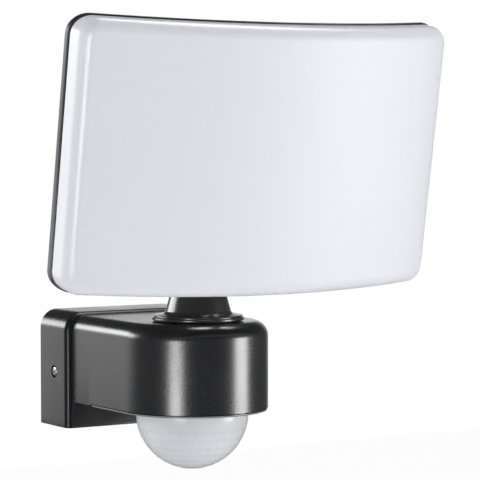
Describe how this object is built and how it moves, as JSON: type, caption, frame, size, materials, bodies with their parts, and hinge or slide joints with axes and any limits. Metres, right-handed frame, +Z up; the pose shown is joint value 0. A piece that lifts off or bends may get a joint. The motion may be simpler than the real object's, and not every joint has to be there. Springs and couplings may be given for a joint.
{
  "type": "motion sensor floodlight",
  "caption": "Wall floodlight: curved opal light panel on a turning neck with a tilt hinge, above an arm with a wall box and a motion sensor dome below.",
  "frame": {"origin": "middle of the wall box's back, on the wall plane", "axes": "+X to the right as seen from in front, +Z up, and the light stands out from the wall along -Y"},
  "size_m": [0.24, 0.2129, 0.2618],
  "materials": {
    "housing_plastic": "fine-grained satin, anthracite",
    "cover_plastic": "fine-grained satin, anthracite",
    "plate_plastic": "moulded, matte",
    "dome_plastic": "translucent lens plastic, segmented, pale grey",
    "screw_steel": "stainless, turned",
    "zinc_steel": "zinc plated",
    "spring_steel": "spring steel, dark",
    "grommet_rubber": "soft, matte",
    "seal_rubber": "foamed silicone, matte",
    "terminal_plastic": "moulded, ivory",
    "terminal_brass": "plated, turned",
    "neck_plastic": "satin gloss, black",
    "head_metal": "powder coated, anthracite",
    "driver_metal": "powder coated, anthracite",
    "opal_plastic": "opal, satin front",
    "board_green": "glass fibre board, green varnish",
    "board_white": "aluminium cored board, white varnish",
    "driver_board_green": "glass fibre board, green varnish",
    "chip_phosphor": "yellow phosphor in a white frame",
    "reflector_sheet": "white, matte",
    "can_metal": "drawn can, nickel plated",
    "pot_plastic": "moulded, blue",
    "dial_plastic": "moulded, pale grey",
    "relay_plastic": "moulded case, dark blue",
    "transformer_core": "ferrite core and taped winding",
    "can_sleeve": "shrink sleeve on an aluminium can",
    "coil_ferrite": "ferrite bobbin with copper winding",
    "washer_fibre": "friction fibre"
  },
  "bodies": {
    "base": {"arm_housing": "housing_plastic", "side_screws": "screw_steel", "wall_plate": "plate_plastic", "cable_grommet": "grommet_rubber", "terminal_block": "terminal_plastic", "terminal_screws": "terminal_brass", "underside_cover": "cover_plastic", "cover_screws": "zinc_steel", "sensor_dome": "dome_plastic", "lens_ring": "plate_plastic", "sensor_board": "board_green", "pyro_sensor": "can_metal", "dial_bases": "pot_plastic", "power_board": "board_green", "relay": "relay_plastic", "transformer": "transformer_core", "capacitor": "can_sleeve", "board_screws": "zinc_steel", "neck_seal": "seal_rubber"},
    "neck": {"neck": "neck_plastic", "neck_clip": "spring_steel", "neck_washer": "spring_steel"},
    "head": {"back_housing": "head_metal", "diffuser": "opal_plastic", "panel_seal": "seal_rubber", "led_strips": "board_white", "led_chips": "chip_phosphor", "reflector": "reflector_sheet", "panel_screws": "screw_steel", "driver_box": "driver_metal", "hinge_bracket": "driver_metal", "bracket_screws": "screw_steel", "driver_seal": "seal_rubber", "driver_screws": "screw_steel", "driver_board": "driver_board_green", "driver_coil": "coil_ferrite", "driver_capacitors": "can_sleeve", "lead_grommet": "grommet_rubber", "hinge_bolt": "screw_steel", "hinge_nut": "screw_steel", "hinge_washers": "washer_fibre"},
    "time_dial": {"time_dial": "dial_plastic"},
    "light_dial": {"light_dial": "dial_plastic"},
    "range_dial": {"range_dial": "dial_plastic"}
  },
  "joints": [
    {"name": "neck_pan", "type": "hinge", "parent": "base", "child": "neck", "pos_m": [0, -0.1078, 0.0332], "axis": [0, 0, 1], "range_deg": [-60, 60]},
    {"name": "head_tilt", "type": "hinge", "parent": "neck", "child": "head", "pos_m": [0, -0.1078, 0.076], "axis": [1, 0, 0], "range_deg": [-25, 25]},
    {"name": "time_dial_turn", "type": "hinge", "parent": "base", "child": "time_dial", "pos_m": [-0.018, -0.048, -0.019], "axis": [0, 0, -1], "range_deg": [-135, 135]},
    {"name": "light_dial_turn", "type": "hinge", "parent": "base", "child": "light_dial", "pos_m": [0, -0.048, -0.019], "axis": [0, 0, -1], "range_deg": [-135, 135]},
    {"name": "range_dial_turn", "type": "hinge", "parent": "base", "child": "range_dial", "pos_m": [0.018, -0.048, -0.019], "axis": [0, 0, -1], "range_deg": [-135, 135]}
  ]
}
